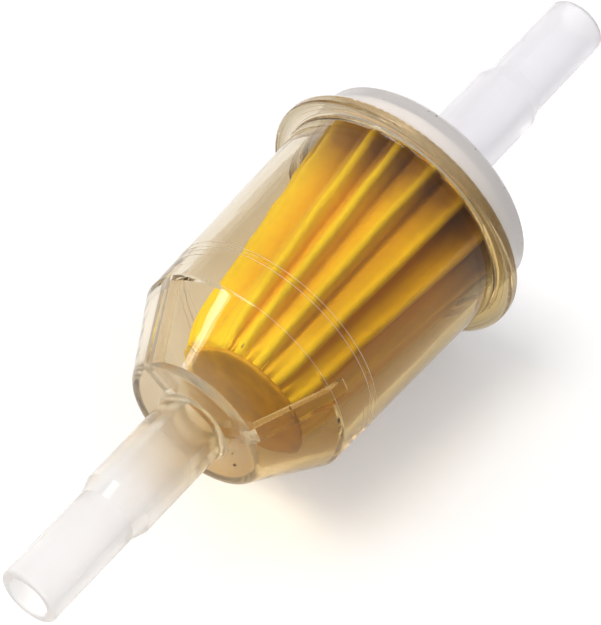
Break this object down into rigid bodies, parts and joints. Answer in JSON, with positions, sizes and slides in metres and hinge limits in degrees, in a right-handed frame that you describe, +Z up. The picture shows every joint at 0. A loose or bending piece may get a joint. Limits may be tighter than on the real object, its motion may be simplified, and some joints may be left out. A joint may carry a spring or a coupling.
{
  "type": "in-line fuel filter",
  "caption": "Clear in-line fuel filter: coned bowl and cover with two-step hose stems, around a pleated paper cone closed by a flat end disc.",
  "frame": {"origin": "on the flow axis, half-way between the two stem tips", "axes": "+X along the flow axis from inlet to outlet; +Z up, with the paper's glued lap towards +Z"},
  "size_m": [0.1124, 0.0376, 0.0376],
  "materials": {
    "clear_bowl": "clear moulded plastic, slightly smoky, glossy",
    "clear_cover": "clear to milky moulded plastic, glossy",
    "weld": "remelted clear plastic",
    "paper": "resin-treated yellow filter paper, matt",
    "disc": "resin-soaked board, mustard, matt",
    "glue": "set adhesive, amber"
  },
  "bodies": {
    "root": {"inlet_bowl": "clear_bowl", "outlet_cover": "clear_cover", "weld_ring": "weld", "filter_paper": "paper", "paper_seam": "glue", "end_disc": "disc", "disc_glue": "glue", "potting_ring": "glue"}
  },
  "joints": []
}
